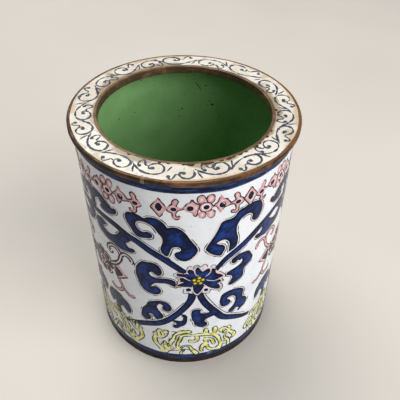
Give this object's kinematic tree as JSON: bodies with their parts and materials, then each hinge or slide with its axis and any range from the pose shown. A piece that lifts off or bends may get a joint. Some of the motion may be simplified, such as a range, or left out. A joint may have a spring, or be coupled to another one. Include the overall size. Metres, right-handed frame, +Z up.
{
  "type": "pen holder cup",
  "caption": "Straight round desk cup for pens or brushes: enamelled copper tube with a flat in-turned rim, bare copper bands and a recessed base.",
  "frame": {"origin": "centre of the foot circle, on the surface that the cup stands on", "axes": "+Z up along the cup's axis; -Y is the side shown in the picture, with a painted lotus a little to the right of it"},
  "size_m": [0.08, 0.08, 0.1025],
  "materials": {
    "copper_sheet": "satin",
    "aged_copper": "brown patina, rubbed brighter along the edges",
    "brass_solder": "satin",
    "white_enamel": "gloss",
    "cream_enamel": "gloss, stained",
    "green_enamel": "semi-gloss, speckled",
    "blue_border_enamel": "gloss, mottled",
    "blue_paint": "gloss, mottled",
    "pink_paint": "gloss",
    "yellow_paint": "gloss",
    "dark_line_paint": "gloss",
    "olive_line_paint": "gloss",
    "rim_scroll_paint": "gloss"
  },
  "bodies": {
    "root": {"body_tube": "copper_sheet", "body_seam_solder": "brass_solder", "base_plate": "copper_sheet", "base_solder_fillet": "brass_solder", "top_plate": "copper_sheet", "top_plate_solder": "brass_solder", "rim_band": "aged_copper", "rim_band_solder": "brass_solder", "mouth_collar": "aged_copper", "mouth_collar_solder": "brass_solder", "foot_band": "aged_copper", "foot_band_solder": "brass_solder", "wall_enamel": "white_enamel", "upper_border_enamel": "blue_border_enamel", "lower_border_enamel": "blue_border_enamel", "rim_enamel": "cream_enamel", "wall_lining_enamel": "green_enamel", "floor_lining_enamel": "green_enamel", "top_lining_enamel": "green_enamel", "underside_enamel": "green_enamel"}
  },
  "joints": []
}
